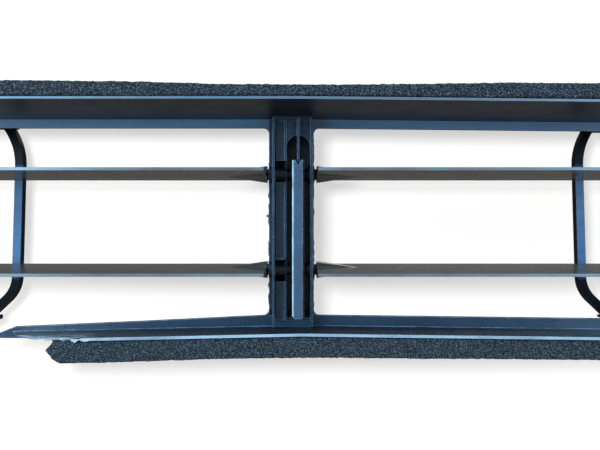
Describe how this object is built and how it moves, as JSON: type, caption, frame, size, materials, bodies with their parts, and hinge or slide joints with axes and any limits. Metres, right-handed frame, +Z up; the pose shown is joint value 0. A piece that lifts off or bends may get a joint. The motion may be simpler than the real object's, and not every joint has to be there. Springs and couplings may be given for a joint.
{
  "type": "radiator air shutter",
  "caption": "Active air shutter for a car radiator: moulded frame with foam strips, turning vanes on a centre post, link bar and electric drive.",
  "frame": {"origin": "centre of the four mounting holes, on the rear face of the ears", "axes": "+X along the shutter, +Z up, the open front faces -Y; rest is vanes open"},
  "size_m": [0.6659, 0.082, 0.1445],
  "materials": {
    "frame_plastic": "satin moulded black plastic",
    "post_plastic": "satin moulded black plastic",
    "bow_plastic": "satin moulded black plastic",
    "vane_plastic": "dusty moulded black plastic",
    "shaft_plastic": "smooth moulded black plastic",
    "bar_plastic": "polished by wear",
    "foam": "open-cell foam",
    "bush_plastic": "natural bearing plastic",
    "gear_plastic": "natural gear plastic",
    "pinion_brass": "machined",
    "motor_steel": "drawn can",
    "pin_steel": "ground",
    "screw_steel": "zinc plated",
    "sleeve_steel": "rolled",
    "board_green": "solder mask",
    "terminal_brass": "tin plated",
    "case_plastic": "textured moulded black plastic",
    "seal_rubber": "moulded"
  },
  "bodies": {
    "frame": {"top_rail": "frame_plastic", "bottom_rail": "frame_plastic", "centre_post": "post_plastic", "post_screws": "screw_steel", "end_post_left": "frame_plastic", "end_post_right": "frame_plastic", "end_screws": "screw_steel", "limiter_sleeves": "sleeve_steel", "vane_bushes": "bush_plastic", "support_bow_left": "bow_plastic", "support_bow_right": "bow_plastic", "bow_screws": "screw_steel", "foam_seal_top": "foam", "foam_seal_bottom": "foam", "drive_motor": "motor_steel", "gear_pins": "pin_steel", "circuit_board": "board_green", "connector_terminals": "terminal_brass", "actuator_housing": "case_plastic", "actuator_cover": "case_plastic", "cover_seal": "seal_rubber", "cover_screws": "screw_steel", "actuator_screws": "screw_steel"},
    "upper_vanes": {"vane_upper_left": "vane_plastic", "vane_upper_right": "vane_plastic", "crank_shaft_upper": "shaft_plastic", "output_gear": "gear_plastic"},
    "lower_vanes": {"vane_lower_left": "vane_plastic", "vane_lower_right": "vane_plastic", "crank_shaft_lower": "shaft_plastic"},
    "link_bar": {"link_bar": "bar_plastic"},
    "gear_two": {"compound_gear_two": "gear_plastic"},
    "gear_one": {"compound_gear_one": "gear_plastic"},
    "motor_rotor": {"motor_pinion": "pinion_brass"}
  },
  "joints": [
    {"name": "upper_vanes_turn", "type": "hinge", "parent": "frame", "child": "upper_vanes", "pos_m": [0, -0.039, 0.027], "axis": [-1, 0, 0], "range_deg": [0, 86]},
    {"name": "lower_vanes_turn", "type": "hinge", "parent": "frame", "child": "lower_vanes", "pos_m": [0, -0.039, -0.027], "axis": [-1, 0, 0], "range_deg": [0, 86.5]},
    {"name": "link_bar_swing", "type": "hinge", "parent": "upper_vanes", "child": "link_bar", "pos_m": [0, -0.04544, 0.021], "axis": [-1, 0, 0], "range_deg": [-86.5, 0]},
    {"name": "gear_two_spin", "type": "hinge", "parent": "frame", "child": "gear_two", "pos_m": [0, -0.039, 0.0062], "axis": [-1, 0, 0], "range_deg": [-287.5, 0.5]},
    {"name": "gear_one_spin", "type": "hinge", "parent": "frame", "child": "gear_one", "pos_m": [0, -0.039, -0.0076], "axis": [-1, 0, 0], "range_deg": [-0.5, 1034]},
    {"name": "motor_spin", "type": "hinge", "parent": "frame", "child": "motor_rotor", "pos_m": [0, -0.039, -0.0191], "axis": [-1, 0, 0], "range_deg": [-3720, 0.5]}
  ],
  "couplings": [
    {"joint": "lower_vanes_turn", "follows": "upper_vanes_turn", "ratio": 1},
    {"joint": "link_bar_swing", "follows": "upper_vanes_turn", "ratio": -1},
    {"joint": "gear_two_spin", "follows": "upper_vanes_turn", "ratio": -3.3333},
    {"joint": "gear_one_spin", "follows": "upper_vanes_turn", "ratio": 12},
    {"joint": "motor_spin", "follows": "upper_vanes_turn", "ratio": -43.2}
  ]
}
